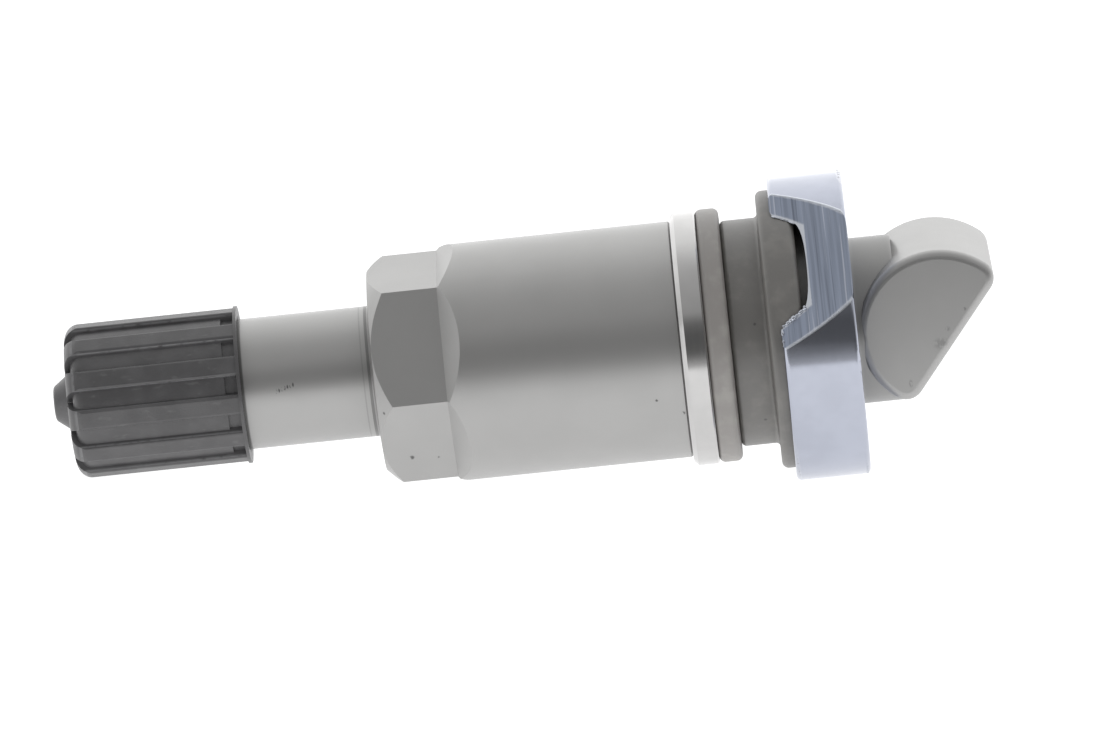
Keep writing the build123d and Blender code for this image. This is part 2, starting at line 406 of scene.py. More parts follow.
@dataclass(frozen=True)
class ShadeBand:
    """A ring of painted shade, a darker colour, on a round surface.

    Args:
        start: Where it starts along the axis.
        end: Where it ends.
        radius: The radius of the surface that it lies on.
        tone: What is left of the colour there.
    """

    start: float
    end: float
    radius: float
    tone: float

    def cover(self, graph: Graph) -> Signal:
        """1 in the band and 0 elsewhere.

        Args:
            graph: The material's graph.

        Returns:
            The cover.
        """
        along, _, _ = graph.parts()
        soft = 0.1 * (self.end - self.start)
        begun = along.rises(self.start - soft, self.start + soft)
        open_end = along.rises(self.end + soft, self.end - soft)
        return begun * open_end * graph.radius().rises(self.radius + 0.025, self.radius + 0.005)


def toned(colour: Colour, tone: float) -> Colour:
    """A colour made darker or lighter.

    Args:
        colour: The colour.
        tone: What each channel is multiplied by.

    Returns:
        The new colour.
    """
    return tuple(tone * value for value in colour)


def marked(graph: Graph, marks: tuple[Mark, ...]) -> Signal:
    """The ragged cover of some marks.

    Args:
        graph: The material's graph.
        marks: The marks, at least one.

    Returns:
        1 where a mark lies, 0 elsewhere.
    """
    spots = [mark.strength * graph.near(mark.place, mark.size, mark.squeeze) for mark in marks]
    cover = spots[0]
    for spot in spots[1:]:
        cover = graph.math("MAXIMUM", cover, spot)
    return cover * graph.noise(7.0, 4.0, (1.0, 1.0, 0.5)).rises(0.40, 0.50)


@dataclass(frozen=True)
class SatinAluminium:
    """Blasted and anodised aluminium, with faint turning rings and a few specks.

    Args:
        name: The material's name.
        colour: The metal's colour.
        roughness: Its mean roughness.
        metallic: How much of it mirrors as bare metal, the rest being its pale oxide skin.
        rings: The strength of the turning rings, 0 to 1.
        shade_bands: Rings of painted shade on it.
        marks: Dark specks on it.
        dirt: The colour of the specks.
        relief: The depth of its grain in millimetres.
    """

    name: str
    colour: Colour = (0.42, 0.418, 0.412)
    roughness: float = 0.38
    metallic: float = 0.76
    rings: float = 0.35
    shade_bands: tuple[ShadeBand, ...] = ()
    marks: tuple[Mark, ...] = ()
    dirt: Colour = (0.05, 0.05, 0.05)
    relief: float = 0.004

    def make(self) -> bpy.types.Material:
        """Build the material.

        Returns:
            The material.
        """
        graph = Graph(self.name)
        grain = graph.noise(14.0, 4.0)
        cloud = graph.noise(0.35, 3.0)
        turning = graph.noise(9.0, 2.0, (1.0, 0.02, 0.02))
        colour = graph.mix(cloud.rises(0.3, 0.7), self.colour, toned(self.colour, 0.97))
        # Painted shade: each band darkens the colour where neighbouring parts shade the metal.
        for shade_band in self.shade_bands:
            colour = graph.mix(shade_band.cover(graph), colour, toned(self.colour, shade_band.tone))
        if self.marks:
            colour = graph.mix(marked(graph, self.marks), colour, self.dirt)
        roughness = self.roughness + 0.10 * (grain - 0.5) + 0.03 * (cloud - 0.5)
        height = 0.6 * grain + self.rings * turning
        return graph.surface(
            Base_Color=colour,
            Metallic=self.metallic,
            Roughness=roughness,
            Normal=graph.bump(height, self.relief),
        )


@dataclass(frozen=True)
class BrightAluminium:
    """Bare aluminium turned bright, with fine tool rings.

    Args:
        name: The material's name.
        colour: The metal's colour.
        roughness: Its mean roughness.
        ring_depth: The depth of the tool rings in millimetres.
        milled: Whether the collar's milled flat has its own streaks and the painted highlight along
            its edges.
    """

    name: str
    colour: Colour = (0.45, 0.472, 0.545)
    roughness: float = 0.14
    ring_depth: float = 0.0012
    milled: bool = False

    def make(self) -> bpy.types.Material:
        """Build the material.

        Returns:
            The material.
        """
        graph = Graph(self.name)
        rings = graph.noise(11.0, 3.0, (1.0, 0.015, 0.015))
        cloud = graph.noise(0.6, 3.0)
        roughness = self.roughness + 0.08 * (cloud - 0.5) + 0.10 * (rings - 0.5)
        colour = graph.mix(cloud.rises(0.3, 0.7), self.colour, toned(self.colour, 0.95))
        height = rings
        if self.milled:
            shape = CollarFlat()
            flat = shape.cover(graph)
            streaks = graph.noise(3.6, 3.0, (1.0, 0.03, 0.03))
            lines = graph.noise(5.5, 1.0, (1.0, 0.015, 0.015)).rises(0.60, 0.68)
            shade = 0.5 * streaks.rises(0.35, 0.65) + 0.5 * lines
            colour = graph.mix(flat, colour, shape.colour(graph, shade))
            roughness = roughness + flat * (0.16 + 0.12 * streaks)
            height = height + flat * (1.8 * streaks - 1.6 * lines)
        return graph.surface(
            Base_Color=colour,
            Metallic=1.0,
            Roughness=roughness,
            Normal=graph.bump(height, self.ring_depth),
        )


@dataclass(frozen=True)
class Rubber:
    """Moulded rubber with a fine skin and a little dust.

    Args:
        name: The material's name.
        colour: The rubber's colour.
        dust: The colour of what lies on it.
        roughness: Its mean roughness.
        shine: How strongly its skin mirrors where it is seen edge on.
        marks: Dark specks on it.
        dirt: The colour of the specks.
        relief: The depth of its skin in millimetres.
    """

    name: str
    colour: Colour
    dust: Colour = (0.42, 0.41, 0.38)
    roughness: float = 0.42
    shine: float = 0.85
    marks: tuple[Mark, ...] = ()
    dirt: Colour = (0.03, 0.03, 0.03)
    relief: float = 0.008

    def make(self) -> bpy.types.Material:
        """Build the material.

        Returns:
            The material.
        """
        graph = Graph(self.name)
        grain = graph.noise(16.0, 4.0)
        cloud = graph.noise(0.9, 4.0)
        colour = graph.mix(0.35 * cloud.rises(0.45, 0.75), self.colour, self.dust)
        if self.marks:
            colour = graph.mix(marked(graph, self.marks), colour, self.dirt)
        roughness = self.roughness + 0.15 * (cloud - 0.5)
        return graph.surface(
            Base_Color=colour,
            Roughness=roughness,
            Specular_IOR_Level=self.shine,
            Normal=graph.bump(grain + 0.8 * cloud, self.relief),
        )


@dataclass(frozen=True)
class CapPlastic:
    """Dark grey moulded plastic with a fine grain and a painted highlight along the ribs' rounded
    edges.

    Args:
        name: The material's name.
        colour: The plastic's colour.
        roughness: Its mean roughness.
        shine: How strongly it mirrors.
        scuffed: The colour of its scuffs.
        painted_highlight: The colour of the painted highlight on the ribs' rounded edges.
        radius: The cap's radius over the ribs.
        highlight_start: Where the painted highlight starts along the axis.
        highlight_end: Where it is in full.
        relief: The depth of its grain in millimetres.
    """

    name: str = "cap_plastic"
    colour: Colour = (0.062, 0.061, 0.063)
    roughness: float = 0.38
    shine: float = 0.8
    scuffed: Colour = (0.16, 0.16, 0.16)
    painted_highlight: Colour = (0.20, 0.20, 0.205)
    radius: float = 4.60
    highlight_start: float = -42.2
    highlight_end: float = -41.2
    relief: float = 0.010

    def make(self) -> bpy.types.Material:
        """Build the material.

        Returns:
            The material.
        """
        graph = Graph(self.name)
        grain = graph.noise(13.0, 4.0)
        cloud = graph.noise(0.8, 4.0)
        scuffs = graph.noise(3.5, 5.0, (0.35, 1.0, 1.0)).rises(0.60, 0.74)
        colour = graph.mix(cloud.rises(0.35, 0.7), self.colour, toned(self.colour, 1.3))
        colour = graph.mix(0.35 * scuffs, colour, self.scuffed)
        radius = graph.radius()
        # Painted highlight: a paler colour on the ribs' rounded edges, away from the cap's end,
        # broken by noise.
        crown = radius.rises(self.radius - 0.16, self.radius - 0.06)
        crown = crown * radius.rises(self.radius - 0.002, self.radius - 0.02)
        along, _, _ = graph.parts()
        side = along.rises(self.highlight_start, self.highlight_end)
        painted_highlight = crown * side * graph.noise(2.2, 3.0).rises(0.22, 0.48)
        colour = graph.mix(0.75 * painted_highlight, colour, self.painted_highlight)
        roughness = self.roughness + 0.12 * (grain - 0.5) + 0.10 * scuffs
        return graph.surface(
            Base_Color=colour,
            Roughness=roughness,
            Specular_IOR_Level=self.shine,
            Normal=graph.bump(grain + 0.6 * cloud, self.relief),
        )


@dataclass(frozen=True)
class CoreMetal:
    """Turned brass or drawn spring wire of the valve core.

    Args:
        name: The material's name.
        colour: The metal's colour.
        roughness: Its mean roughness.
    """

    name: str
    colour: Colour
    roughness: float = 0.22

    def make(self) -> bpy.types.Material:
        """Build the material.

        Returns:
            The material.
        """
        graph = Graph(self.name)
        rings = graph.noise(12.0, 2.0, (1.0, 0.03, 0.03))
        tarnish = graph.noise(1.4, 4.0).rises(0.4, 0.7)
        colour = graph.mix(0.5 * tarnish, self.colour, toned(self.colour, 0.6))
        roughness = self.roughness + 0.12 * tarnish
        return graph.surface(
            Base_Color=colour, Metallic=1.0, Roughness=roughness, Normal=graph.bump(rings, 0.002)
        )


@dataclass(frozen=True)
class CollarFlat:
    """The slanting flat that is milled across the collar.

    Args:
        front: The place of the collar's grommet side.
        back: The place of its foot side.
        radius: The collar's radius.
        recess: The recess's radius.
        floor: The place of the recess's floor.
        distance: How far the flat is from the axis at the grommet side.
        slope: How steeply it moves away from the axis, in degrees.
        around: Where its middle lies, in degrees above the level line that faces the camera.
        cut: The colour of the cut metal.
        scored: The colour of the cutter's bright lines.
        edge_highlight: The colour of the painted highlight along its sharp edges.
    """

    front: float = 0.78
    back: float = 5.25
    radius: float = 9.15
    recess: float = 8.40
    floor: float = 2.68
    distance: float = 7.50
    slope: float = 15.0
    around: float = 39.7
    cut: Colour = (0.355, 0.40, 0.50)
    scored: Colour = (0.68, 0.71, 0.80)
    edge_highlight: Colour = (0.80, 0.83, 0.88)

    def colour(self, graph: Graph, shade: Signal) -> Signal:
        """The flat's colour, with bright lines and a painted highlight along its edges.

        Args:
            graph: The material's graph.
            shade: How dark the cut metal is, 0 to 1.

        Returns:
            The colour.
        """
        radius = graph.radius()
        along, _, _ = graph.parts()
        lines = graph.noise(7.5, 1.0, (1.0, 0.01, 0.02)).rises(0.62, 0.70)
        ragged = 0.08 * graph.noise(4.0, 2.0)
        into = graph.math("MAXIMUM", radius - self.recess, along - self.floor)
        # Painted highlight: a pale colour along the flat's outer rim and the recess's lip.
        rim = radius.rises(self.radius - 0.06 - ragged, self.radius - 0.02)
        lip = into.rises(0.05 + ragged, 0.02)
        colour = graph.mix(shade, self.cut, toned(self.cut, 0.55))
        colour = graph.mix(0.55 * lines, colour, self.scored)
        return graph.mix(0.8 * graph.math("MAXIMUM", rim, lip), colour, self.edge_highlight)

    def depth_at(self, place: float) -> float:
        """The flat's distance from the axis at a place along it."""
        return self.distance + (place - self.front) * math.tan(math.radians(self.slope))

    def edge(
        self, radius: float, side: int, start: float, end: float, count: int = 60
    ) -> list[Vector]:
        """The flat's edge on a cylinder about the axis.

        Args:
            radius: The cylinder's radius.
            side: 1 for the edge below the flat, -1 for the one above it.
            start: Where it starts along the axis.
            end: Where it ends.
            count: How many points.

        Returns:
            The points in axis millimetres.
        """
        points = []
        for number in range(count):
            place = start + (end - start) * number / (count - 1)
            half = math.sqrt(radius**2 - self.depth_at(place) ** 2)
            points.append(self.on_flat(place, side * half))
        return points

    def front_edge(self, side: int, count: int = 24) -> list[Vector]:
        """The short edge between the flat and the collar's grommet side.

        Args:
            side: 1 for the edge at the flat's lower end, -1 for the one at its upper end.
            count: How many points.

        Returns:
            The points in axis millimetres.
        """
        inner = math.sqrt(self.recess**2 - self.distance**2) + 0.08
        outer = math.sqrt(self.radius**2 - self.distance**2) - 0.25
        steps = [inner + (outer - inner) * number / (count - 1) for number in range(count)]
        return [self.on_flat(self.front + 0.05, side * step) for step in steps]

    def on_flat(self, place: float, drop: float) -> Vector:
        """A point of the flat.

        Args:
            place: Millimetres along the axis.
            drop: How far below the flat's middle line it is, along the flat.

        Returns:
            The point in axis millimetres.
        """
        turn = math.radians(self.around)
        outward = Vector((0.0, -math.cos(turn), math.sin(turn)))
        down = Vector((0.0, -math.sin(turn), -math.cos(turn)))
        return Vector((place, 0.0, 0.0)) + self.depth_at(place) * outward + drop * down

    def cover(self, graph: Graph) -> Signal:
        """1 on the flat and 0 on the rest of the collar.

        Args:
            graph: The material's graph.

        Returns:
            The cover.
        """
        turn = math.radians(self.around)
        outward = (0.0, -math.cos(turn), math.sin(turn))
        along, _, _ = graph.parts()
        reach = Signal(graph, graph.vector("DOT_PRODUCT", graph.place(), outward).outputs["Value"])
        gap = reach - (self.distance + (along - self.front) * math.tan(math.radians(self.slope)))
        outside = graph.radius().rises(self.recess - 1.6, self.recess - 1.4)
        return abs(gap).rises(0.05, 0.02) * outside


class Tree(Nodes):
    """A geometry node tree that makes one piece and is then turned into plain mesh."""

    def __init__(self, name: str) -> None:
        """Start an empty tree.

        Args:
            name: The tree's name.
        """
        super().__init__(bpy.data.node_groups.new(name, "GeometryNodeTree"))
        face = self.tree.interface
        face.new_socket("Geometry", in_out="INPUT", socket_type="NodeSocketGeometry")
        face.new_socket("Geometry", in_out="OUTPUT", socket_type="NodeSocketGeometry")
        self.entry = self.node("NodeGroupInput")

    def value(self, name: str, kind: str = "NodeSocketFloat") -> bpy.types.NodeSocket:
        """Add a named input to the tree.

        Args:
            name: The input's name.
            kind: Its socket type.

        Returns:
            The socket that carries it inside the tree.
        """
        self.tree.interface.new_socket(name, in_out="INPUT", socket_type=kind)
        return self.entry.outputs[name]

    def finish(self, geometry: bpy.types.NodeSocket, material: bpy.types.NodeSocket) -> None:
        """End the tree in plain, dressed geometry.

        Args:
            geometry: What the tree has made.
            material: The material's input.
        """
        real = self.node("GeometryNodeRealizeInstances", sockets={0: geometry})
        sockets = {"Geometry": real.outputs[0], "Material": material}
        dressed = self.node("GeometryNodeSetMaterial", sockets=sockets)
        self.node("NodeGroupOutput", sockets={0: dressed.outputs[0]})

    def make(
        self, name: str, body: Body, points: list[Vector], values: dict[str, object]
    ) -> bpy.types.Object:
        """Evaluate the tree once and keep its mesh as a piece of the model.

        Args:
            name: The piece's name.
            body: The body that it moves with.
            points: A path that the tree may use, in axis millimetres.
            values: The tree's inputs by name.

        Returns:
            The piece.
        """
        path = bpy.data.meshes.new(name)
        path.from_pydata(points, [(i, i + 1) for i in range(len(points) - 1)], [])
        carrier = bpy.data.objects.new(name + "_path", path)
        bpy.context.scene.collection.objects.link(carrier)
        modifier = carrier.modifiers.new("tree", "NODES")
        modifier.node_group = self.tree
        for item in self.tree.interface.items_tree:
            if item.in_out == "INPUT" and item.name in values:
                modifier[item.identifier] = values[item.name]
        bpy.context.view_layer.update()
        graph = bpy.context.evaluated_depsgraph_get()
        mesh = bpy.data.meshes.new_from_object(carrier.evaluated_get(graph), depsgraph=graph)
        carrier.modifiers.remove(modifier)
        bpy.data.objects.remove(carrier)
        mesh.transform(AXIS.matrix)
        mesh.name = name
        piece = bpy.data.objects.new(name, mesh)
        bpy.context.scene.collection.objects.link(piece)
        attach(piece, body.value)
        logging.info("made %s with %d faces", name, len(mesh.polygons))
        return piece


@dataclass(frozen=True)
class Helix:
    """A wire or ridge that winds round the valve's axis.

    Args:
        name: The piece's name.
        start: Where its middle line starts along the axis.
        end: Where it ends.
        radius: The middle line's radius.
        wire: The radius of the wire or ridge.
        turns: How many times it winds round.
        sides: How many sides the wire has.
        steps: How many steps it takes to a turn.
    """

    name: str
    start: float
    end: float
    radius: float
    wire: float
    turns: float
    sides: int = 4
    steps: int = 48

    @classmethod
    def thread(
        cls, name: str, start: float, end: float, core: float, crest: float, pitch: float
    ) -> "Helix":
        """A screw thread's ridge.

        Args:
            name: The piece's name.
            start: Where the thread starts along the axis.
            end: Where it ends.
            core: The radius at its root.
            crest: The radius at its crest.
            pitch: Its pitch.

        Returns:
            The helix.
        """
        depth = crest - core
        return cls(name, start + depth, end - depth, core, depth, (end - start - 2 * depth) / pitch)

    @staticmethod
    def tree() -> Tree:
        """Describe a wire that winds round an axis.

        Returns:
            The tree.
        """
        tree = Tree("helix")
        radius = tree.value("Radius")
        spiral = {
            "Resolution": tree.value("Steps", "NodeSocketInt"),
            "Rotations": tree.value("Turns"),
            "Start Radius": radius,
            "End Radius": radius,
            "Height": tree.value("Length"),
        }
        curve = tree.node("GeometryNodeCurveSpiral", sockets=spiral)
        sides = tree.value("Sides", "NodeSocketInt")
        section = {"Resolution": sides, "Radius": tree.value("Wire")}
        profile = tree.node("GeometryNodeCurvePrimitiveCircle", {"mode": "RADIUS"}, section)
        sweep = {"Curve": curve.outputs[0], "Profile Curve": profile.outputs[0], "Fill Caps": True}
        swept = tree.node("GeometryNodeCurveToMesh", sockets=sweep)
        move = {
            "Geometry": swept.outputs[0],
            "Translation": tree.value("Start", "NodeSocketVector"),
            "Rotation": (0.0, math.pi / 2, 0.0),
        }
        moved = tree.node("GeometryNodeTransform", sockets=move)
        tree.finish(moved.outputs[0], tree.value("Material", "NodeSocketMaterial"))
        return tree

    def build(self, material: bpy.types.Material) -> bpy.types.Object:
        """Make the helix, which stays with the stem.

        Args:
            material: Its finish.

        Returns:
            The piece.
        """
        values = {
            "Steps": self.steps,
            "Turns": self.turns,
            "Radius": self.radius,
            "Length": self.end - self.start,
            "Wire": self.wire,
            "Sides": self.sides,
            "Start": (self.start, 0.0, 0.0),
            "Material": material,
        }
        return self.tree().make(self.name, Body.STEM, [Vector()], values)


@dataclass(frozen=True)
class Burr:
    """A ragged sliver of metal that the cutter left along an edge.

    Args:
        name: The piece's name.
        thickness: Its mean radius in millimetres.
        seed: Which raggedness it has.
    """

    name: str
    thickness: float = 0.05
    seed: int = 3

    def tree(self) -> Tree:
        """Describe a bead of uneven thickness along a path.

        Returns:
            The tree.
        """
        tree = Tree("burr")
        curve = tree.node("GeometryNodeMeshToCurve", sockets={0: tree.entry.outputs[0]})
        seeds = {"W": tree.value("Seed"), "Scale": 3.0, "Detail": 3.0}
        noise = tree.node("ShaderNodeTexNoise", {"noise_dimensions": "4D"}, seeds)
        spread = {0: noise.outputs[0], 1: 0.35, 2: 0.65, 3: 0.1, 4: 2.2}
        scale = tree.node("ShaderNodeMapRange", sockets=spread).outputs[0]
        bead = {"Resolution": 5, "Radius": tree.value("Thickness")}
        profile = tree.node("GeometryNodeCurvePrimitiveCircle", {"mode": "RADIUS"}, bead)
        sweep = {"Curve": curve.outputs[0], "Profile Curve": profile.outputs[0], "Scale": scale}
        swept = tree.node("GeometryNodeCurveToMesh", sockets={**sweep, "Fill Caps": True})
        tree.finish(swept.outputs[0], tree.value("Material", "NodeSocketMaterial"))
        return tree

    def build(self, points: list[Vector], material: bpy.types.Material) -> None:
        """Make the burr.

        Args:
            points: Its path in axis millimetres.
            material: Its finish.
        """
        values = {"Seed": float(self.seed), "Thickness": self.thickness, "Material": material}
        self.tree().make(self.name, Body.STEM, points, values)


def dress(nodes: tuple[str, ...], material: bpy.types.Material) -> None:
    """Give some of the model's own pieces a material.

    Args:
        nodes: The pieces' names.
        material: The material.
    """
    for name in nodes:
        piece = frame["nodes"][name]
        piece.data.materials.clear()
        piece.data.materials.append(material)
        logging.info("dressed %s in %s", name, material.name)


def on_cylinder(place: float, radius: float, height: float) -> Point:
    """A point on a round surface, from how high it shows in the picture.

    Args:
        place: Millimetres along the axis.
        radius: The surface's radius.
        height: Millimetres above the axis, square to the line of sight.

    Returns:
        The point in axis millimetres.
    """
    around = math.degrees(math.asin(height / radius)) + Camera.elevation
    return tuple(AXIS.point(place, radius, around))


def on_face(place: float, distance: float, tilt: float, height: float) -> Point:
    """A point on a flat face that runs along the axis, from how high it shows in the picture.

    Args:
        place: Millimetres along the axis.
        distance: The face's distance from the axis.
        tilt: How far the face looks up from the line of sight, in degrees.
        height: Millimetres above the axis, square to the line of sight.

    Returns:
        The point in axis millimetres.
    """
    turn = math.radians(tilt)
    toward = (distance - height * math.sin(turn)) / math.cos(turn)
    around = math.degrees(math.atan2(height, toward)) + Camera.elevation
    return tuple(AXIS.point(place, math.hypot(height, toward), around))


@dataclass
class Stem:
    """The stem, neck and foot, one piece of satin metal.

    Args:
        radius: The plain stem's radius.
        foot_face: How far the foot's near face is from the axis, towards the back.
        shade_bands: Painted shade, darker rings on the neck between the collar and the foot, and at
            the cap's and the nut's edges.
        tick_count: How many ticks the scratch has.
        tick_start: Where its first tick is along the axis, and how high that shows.
        tick_step: How far each next tick is along the axis, and how much higher.
        cap_thread: Where the cap's thread starts and ends.
        cap_thread_radii: Its radius at the root and at the crest.
        cap_thread_pitch: Its pitch.
        nut_thread: Where the nut's thread starts and ends.
        nut_thread_radii: Its radius at the root and at the crest.
        nut_thread_pitch: Its pitch.
    """

    radius: float = 3.915
    foot_face: float = -5.0
    # Painted shade on the neck between collar and foot; painted shadow at the cap's mouth and at the
    # nut's end.
    shade_bands: tuple[ShadeBand, ...] = (
        ShadeBand(5.25, 7.75, 4.97, 0.68),
        ShadeBand(-31.9, -31.40, 3.915, 0.35),
        ShadeBand(-23.98, -23.80, 3.915, 0.55),
        ShadeBand(-24.30, -24.22, 3.915, 0.80),
    )
    tick_count: int = 7
    tick_start: tuple[float, float] = (-29.5, -0.64)
    tick_step: tuple[float, float] = (0.17, 0.05)
    cap_thread: tuple[float, float] = (-39.1, -32.6)
    cap_thread_radii: tuple[float, float] = (3.45, 3.87)
    cap_thread_pitch: float = 0.79375
    nut_thread: tuple[float, float] = (-14.6, -1.0)
    nut_thread_radii: tuple[float, float] = (4.0, 4.5)
    nut_thread_pitch: float = 1.0

    def scratch(self) -> tuple[Mark, ...]:
        """The short slanting row of ticks on the plain stem.

        Returns:
            The ticks, from the lowest to the highest.
        """
        (place, height), (along, up) = self.tick_start, self.tick_step
        return tuple(
            Mark(on_cylinder(place + along * i, self.radius, height + up * i), 0.19, (2.4, 1.0, 1.0))
            for i in range(self.tick_count)
        )

    def finish(self) -> None:
        """Dress the stem and make its threads."""
        marks = (
            *self.scratch(),
            Mark((10.1, self.foot_face, -0.75), 0.60, (1.0, 1.0, 1.3), 0.26),
            Mark((10.6, self.foot_face, 0.1), 0.20, strength=0.3),
            Mark((11.7, self.foot_face, 1.2), 0.14, strength=0.45),
            Mark((8.1, self.foot_face, -3.0), 0.15, (1.0, 1.0, 0.5), 0.4),
        )
        metal = SatinAluminium("stem_aluminium", shade_bands=self.shade_bands, marks=marks).make()
        dress(("valve_stem",), metal)
        threads = (
            ("cap_thread", *self.cap_thread, *self.cap_thread_radii, self.cap_thread_pitch),
            ("nut_thread", *self.nut_thread, *self.nut_thread_radii, self.nut_thread_pitch),
        )
        for thread in threads:
            Helix.thread(*thread).build(metal)


@dataclass
class Nut:
    """The sleeve nut, with its hexagon at the cap's end.

    Args:
        sleeve_radius: The sleeve's radius.
        hex_radius: The radius of the hexagon's chamfer at its mark.
        hex_distance: The hexagon's faces' distance from the axis.
        low_face: How far the lower near face looks up from the line of sight, in degrees.
    """

    sleeve_radius: float = 7.09
    hex_radius: float = 6.4
    hex_distance: float = 6.0
    low_face: float = -50.4

    def finish(self) -> None:
        """Dress the nut."""
        marks = (
            Mark(on_face(-21.9, self.hex_distance, self.low_face, -5.36), 0.20, (1.0, 1.0, 0.7)),
            Mark(on_face(-20.35, self.hex_distance, self.low_face, -5.5), 0.15, strength=0.5),
            Mark(on_cylinder(-23.2, self.hex_radius, -2.6), 0.14),
            Mark(on_cylinder(-5.5, self.sleeve_radius, -4.4), 0.16),
            Mark(on_cylinder(-7.0, self.sleeve_radius, -3.5), 0.12),
        )
        dress(("sleeve_nut",), SatinAluminium("nut_aluminium", marks=marks).make())


@dataclass
class Seals:
    """The washer, the outer ring, the grommet and the collar that clamp the rim between them.

    Args:
        neck_radius: The radius of the grommet's neck.
    """

    neck_radius: float = 6.78

    def finish(self) -> None:
        """Dress the washer, the rubbers and the collar, and make the collar's burrs."""
        marks = (
            Mark(on_cylinder(-0.76, self.neck_radius, 0.4), 0.12),
            Mark(on_cylinder(-0.71, self.neck_radius, -5.3), 0.14),
        )
        dust = (0.25, 0.24, 0.22)
        grommet = Rubber("grommet_rubber", (0.140, 0.135, 0.127), dust, shine=1.0, marks=marks)
        ring = Rubber("ring_rubber", (0.262, 0.248, 0.236))
        washer = BrightAluminium("washer_metal", (0.56, 0.555, 0.55), 0.17, 0.003)
        collar = BrightAluminium("collar_aluminium", milled=True)
        dress(("rim_grommet",), grommet.make())
        dress(("outer_seal_ring",), ring.make())
        dress(("clamp_washer",), washer.make())
        dress(("valve_collar",), collar.make())
        self.burrs()

    @staticmethod
    def burrs() -> None:
        """Make the ragged metal along the edges of the collar's flat."""
        metal = BrightAluminium("burr_metal", (0.62, 0.65, 0.72), 0.30, 0.004).make()
        flat = CollarFlat()
        inner, outer = flat.recess - 0.02, flat.radius - 0.03
        mouth = flat.front + 0.10
        start, end = flat.front + 0.3, flat.back - 0.3
        burrs = (
            (Burr("recess_burr_low", thickness=0.085, seed=3), flat.edge(inner, 1, mouth, 2.35)),
            (Burr("recess_burr_high", thickness=0.035, seed=5), flat.edge(inner, -1, mouth, 2.2)),
            (Burr("front_burr", thickness=0.075, seed=11), flat.front_edge(1)),
            (Burr("flat_burr_low", thickness=0.022, seed=8), flat.edge(outer, 1, start, end)),
            (Burr("flat_burr_high", thickness=0.018, seed=9), flat.edge(outer, -1, start, end)),
        )
        for burr, points in burrs:
            burr.build(points, metal)


@dataclass
class Cap:
    """The ribbed dust cap."""

    def finish(self) -> None:
        """Dress the cap."""
        dress(("dust_cap",), CapPlastic().make())


@dataclass
class Core:
    """The valve core in the stem's mouth.

    Args:
        spring: Where the spring starts and ends along the axis.
        spring_radius: The radius of the spring's middle line.
        wire: The radius of its wire.
        turns: Its turns.
        press: How far the pin is pressed in; not used.
    """

    spring: tuple[float, float] = (-33.95, -27.95)
    spring_radius: float = 0.675
    wire: float = 0.11
    turns: float = 9.0
    press: float = 1.2

    def finish(self) -> None:
        """Dress the core's pieces and the black seals, and wind the spring."""
        brass = CoreMetal("core_brass", (0.62, 0.47, 0.22)).make()
        dress(("core_plug", "core_barrel", "core_pin", "core_cup"), brass)
        self.wind(CoreMetal("spring_wire", (0.5, 0.5, 0.5), 0.3).make())
        dress(("cap_seal", "cup_seal"), Rubber("seal_rubber", (0.02, 0.02, 0.02)).make())
        dress(("core_gasket",), Rubber("gasket", (0.45, 0.05, 0.03), roughness=0.4).make())

    def wind(self, material: bpy.types.Material) -> None:
        """Make the spring and hide the model's own spring.

        Args:
            material: The wire's finish.
        """
        start, end = self.spring
        coil = Helix(
            "spring_coil",
            start + self.wire,
            end - self.wire,
            self.spring_radius,
            self.wire,
            self.turns,
            sides=8,
            steps=32,
        )
        piece = coil.build(material)
        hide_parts("core_spring")
        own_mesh(piece)


@dataclass(frozen=True)
class Camera:
    """The long lens that the picture is taken with.

    Args:
        distance: Metres from the valve.
        frame_width: How many millimetres the picture spans at the valve.
        middle_place: The place along the axis at the picture's middle.
        middle_height: How far the picture's middle is above the axis, in millimetres.
        sensor: The sensor's width.
    """

    elevation: ClassVar[float] = 13.2
    distance: float = 0.60
    frame_width: float = 66.47
    middle_place: float = -12.96
    middle_height: float = -1.07
    sensor: float = 36.0

    def build(self) -> None:
        """Place the camera."""
        data = bpy.data.cameras.new("camera")
        data.sensor_width = self.sensor
        data.lens = self.sensor * self.distance / (self.frame_width * MILLIMETRE)
        data.clip_start = 0.05
        data.clip_end = 10.0
        camera = bpy.data.objects.new("camera", data)
        bpy.context.scene.collection.objects.link(camera)
        rise = math.radians(self.elevation)
        back = Vector((0.0, -math.cos(rise), math.sin(rise)))
        camera.rotation_mode = "QUATERNION"
        camera.rotation_quaternion = (-back).to_track_quat("-Z", "Y")
        picture_up = camera.rotation_quaternion @ Vector((0.0, 1.0, 0.0))
        square_up = (picture_up - picture_up.dot(AXIS.direction) * AXIS.direction).normalized()
        target = AXIS.matrix @ Vector((self.middle_place, 0.0, 0.0))
        target += self.middle_height * MILLIMETRE * square_up
        camera.location = target + self.distance * back
        bpy.context.scene.camera = camera


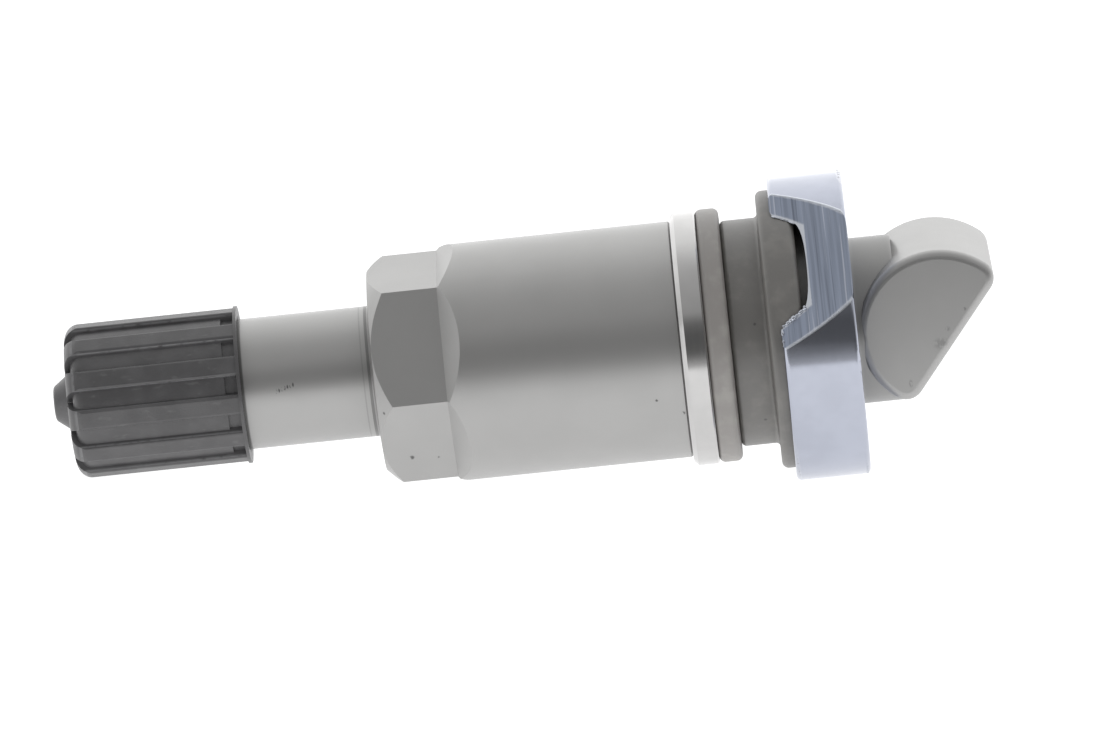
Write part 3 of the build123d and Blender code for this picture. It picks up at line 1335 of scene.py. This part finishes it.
@dataclass(frozen=True)
class Studio:
    """A white light table in a soft tent, with a dark card on the camera's side.

    Args:
        table_size: The table's side in metres.
        table_glow: How bright the table is by itself.
        card_start: How far in front of the valve the dark card starts, in metres.
        card_end: How far away it ends.
        card_rise: How high it goes at its far end.
        card_levels: The card's level against the metres along it from its near edge.
        tent_strength: The level that full white on the tent's ramp stands for.
        tent_levels: The tent's level against how far a direction points to the back.
    """

    table_size: float = 6.0
    table_glow: float = 1.0
    card_start: float = 0.038
    card_end: float = 0.30
    card_rise: float = 0.20
    card_levels: tuple[tuple[float, float], ...] = (
        (0.0, 0.62),
        (0.02, 0.42),
        (0.05, 0.27),
        (0.15, 0.18),
        (0.30, 0.13),
        (0.345, 0.12),
        (0.41, 0.18),
        (0.46, 0.34),
    )
    tent_strength: float = 2.6
    tent_levels: tuple[tuple[float, float], ...] = (
        (-1.0, 0.42),
        (-0.8, 0.44),
        (-0.6, 0.50),
        (-0.24, 0.59),
        (0.10, 0.88),
        (0.36, 1.10),
        (0.55, 1.24),
        (0.80, 1.36),
        (0.90, 1.40),
        (0.97, 1.50),
        (1.0, 1.75),
    )

    def build(self) -> None:
        """Make the table, the card and the tent's light."""
        self.table()
        self.card()
        self.tent()
        scene = bpy.context.scene
        scene.view_settings.view_transform = "Standard"
        scene.view_settings.look = "None"

    def table(self) -> None:
        """Make the white table."""
        half = self.table_size / 2
        corners = [(-half, -half, 0.0), (half, -half, 0.0), (half, half, 0.0), (-half, half, 0.0)]
        graph = Graph("table")
        material = graph.surface(
            Base_Color=(0.30, 0.30, 0.302, 1.0),
            Roughness=1.0,
            Specular_IOR_Level=0.0,
            Emission_Color=(1.0, 1.0, 1.004, 1.0),
            Emission_Strength=self.table_glow,
        )
        self.sheet("table", corners, [(0, 1, 2, 3)], material)

    def card(self) -> None:
        """Make the dark card that bright metal mirrors, out of the camera's sight."""
        half = self.table_size / 8
        lift = 0.0004
        outline = ((self.card_start, lift), (self.card_end, lift), (self.card_end, self.card_rise))
        corners = [(side * half, -away, up) for away, up in outline for side in (-1, 1)]
        graph = Graph("card")
        coordinates = graph.node("ShaderNodeTexCoord")
        split = graph.node("ShaderNodeSeparateXYZ", sockets={0: coordinates.outputs["Object"]})
        height, depth = Signal(graph, split.outputs["Z"]), Signal(graph, split.outputs["Y"])
        reach = height - depth - self.card_start
        ramp = graph.node("ShaderNodeValToRGB", {"stops": list(self.card_levels)}, {"Fac": reach})
        material = graph.surface(
            Base_Color=(0.0, 0.0, 0.0, 1.0),
            Roughness=1.0,
            Specular_IOR_Level=0.0,
            Emission_Color=ramp.outputs["Color"],
            Emission_Strength=1.0,
        )
        card = self.sheet("card", corners, [(0, 1, 3, 2), (2, 3, 5, 4)], material)
        card.visible_camera = False
        card.visible_shadow = False
        card.visible_diffuse = False

    @staticmethod
    def sheet(
        name: str, corners: list[Point], faces: list[tuple[int, ...]], material: bpy.types.Material
    ) -> bpy.types.Object:
        """Make a flat stage piece.

        Args:
            name: Its name.
            corners: Its corners in metres.
            faces: Its faces, as numbers of corners.
            material: Its material.

        Returns:
            The staged object.
        """
        mesh = bpy.data.meshes.new(name)
        mesh.from_pydata(corners, [], faces)
        mesh.materials.append(material)
        piece = bpy.data.objects.new(name, mesh)
        bpy.context.scene.collection.objects.link(piece)
        return piece

    def tent(self) -> None:
        """Light everything from a tent that brightens from the camera's side to the back."""
        world = bpy.data.worlds.new("tent")
        bpy.context.scene.world = world
        world.use_nodes = True
        nodes = Nodes(world.node_tree)
        stops = [(0.5 * (back + 1), level / self.tent_strength) for back, level in self.tent_levels]
        coordinates = nodes.node("ShaderNodeTexCoord")
        split = nodes.node("ShaderNodeSeparateXYZ", sockets={0: coordinates.outputs["Generated"]})
        span = {"From Min": -1.0, "Value": split.outputs["Y"]}
        spread = nodes.node("ShaderNodeMapRange", sockets=span)
        ramp = nodes.node("ShaderNodeValToRGB", {"stops": stops}, {"Fac": spread.outputs["Result"]})
        sockets = {"Color": ramp.outputs["Color"], "Strength": self.tent_strength}
        light = nodes.node("ShaderNodeBackground", sockets=sockets)
        nodes.node("ShaderNodeOutputWorld", sockets={"Surface": light.outputs["Background"]})


def main() -> None:
    """Build the valve's finishes, the studio and the camera in order."""
    logging.basicConfig(level=logging.INFO, format="%(message)s")
    for part in (Stem(), Nut(), Seals(), Cap(), Core()):
        part.finish()
        logging.info("finished %s", type(part).__name__)
    Studio().build()
    Camera().build()
    logging.info("studio and camera ready")


if __name__ == "__main__":
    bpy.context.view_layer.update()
    main()
